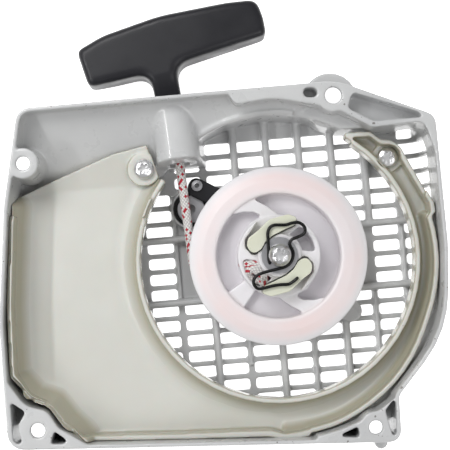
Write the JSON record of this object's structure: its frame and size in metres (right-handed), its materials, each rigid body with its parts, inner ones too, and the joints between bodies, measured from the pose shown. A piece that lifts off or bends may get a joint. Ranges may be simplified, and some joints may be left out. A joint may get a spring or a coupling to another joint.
{
  "type": "recoil starter",
  "caption": "Fan housing of a small engine with a pull-rope starter: slotted cast cover, air baffle, rope rotor with swinging pawls, rewind spring and T-grip.",
  "frame": {"origin": "on the rotor's axis, in the plane of the housing's flat outer face", "axes": "+Z out of the open side, towards the engine; +Y towards the side that the grip is on; +X completes the frame"},
  "size_m": [0.1752, 0.1812, 0.038],
  "materials": {
    "paint": "light grey gloss paint over a die casting",
    "cream": "satin",
    "nylon": "satin",
    "lime": "satin",
    "steel": "satin",
    "wire": "black oxide",
    "black": "satin",
    "rubber": "matte",
    "rope": "braided",
    "spring": "bright",
    "blank": "satin"
  },
  "bodies": {
    "housing": {"fan_housing": "paint", "name_plate": "blank", "air_baffle": "cream", "baffle_screw_left": "steel", "baffle_screw_right": "steel", "axle_post": "steel", "thrust_washer": "steel", "retaining_washer": "steel", "axle_screw": "steel", "spring_case": "black", "rewind_spring": "spring", "spring_case_eyelet": "steel", "rubber_bush": "rubber", "bush_sleeve": "steel", "rope_bush": "steel", "rope_run": "rope"},
    "rotor": {"rope_rotor": "nylon", "rope_coil": "rope", "rope_knot_rotor": "rope"},
    "clip": {"pawl_clip": "wire"},
    "pawl_a": {"pawl_left": "lime"},
    "pawl_b": {"pawl_right": "lime"},
    "grip": {"grip": "black", "rope_in_grip": "rope", "rope_knot_grip": "rope"}
  },
  "joints": [
    {"name": "grip_pull", "type": "slide", "parent": "housing", "child": "grip", "axis": [-0.1788, 0.9839, 0], "range_m": [0, 0.8], "stiffness_N_per_m": 20, "springref_m": -0.4},
    {"name": "rotor_spin", "type": "hinge", "parent": "housing", "child": "rotor", "pos_m": [0, 0, 0.014], "axis": [0, 0, -1], "range_deg": [0, 1540]},
    {"name": "clip_turn", "type": "hinge", "parent": "rotor", "child": "clip", "pos_m": [0, 0, 0.0293], "axis": [0, 0, 1], "range_deg": [0, 10.6]},
    {"name": "pawl_a_swing", "type": "hinge", "parent": "rotor", "child": "pawl_a", "pos_m": [-0.0104, 0.0036, 0.022], "axis": [0, 0, 1], "range_deg": [0, 16]},
    {"name": "pawl_b_swing", "type": "hinge", "parent": "rotor", "child": "pawl_b", "pos_m": [0.0104, -0.0036, 0.022], "axis": [0, 0, 1], "range_deg": [0, 16]}
  ],
  "couplings": [
    {"joint": "rotor_spin", "follows": "grip_pull", "rad_per_m": 33.5},
    {"joint": "pawl_a_swing", "follows": "clip_turn", "ratio": 1.5},
    {"joint": "pawl_b_swing", "follows": "clip_turn", "ratio": 1.5}
  ]
}
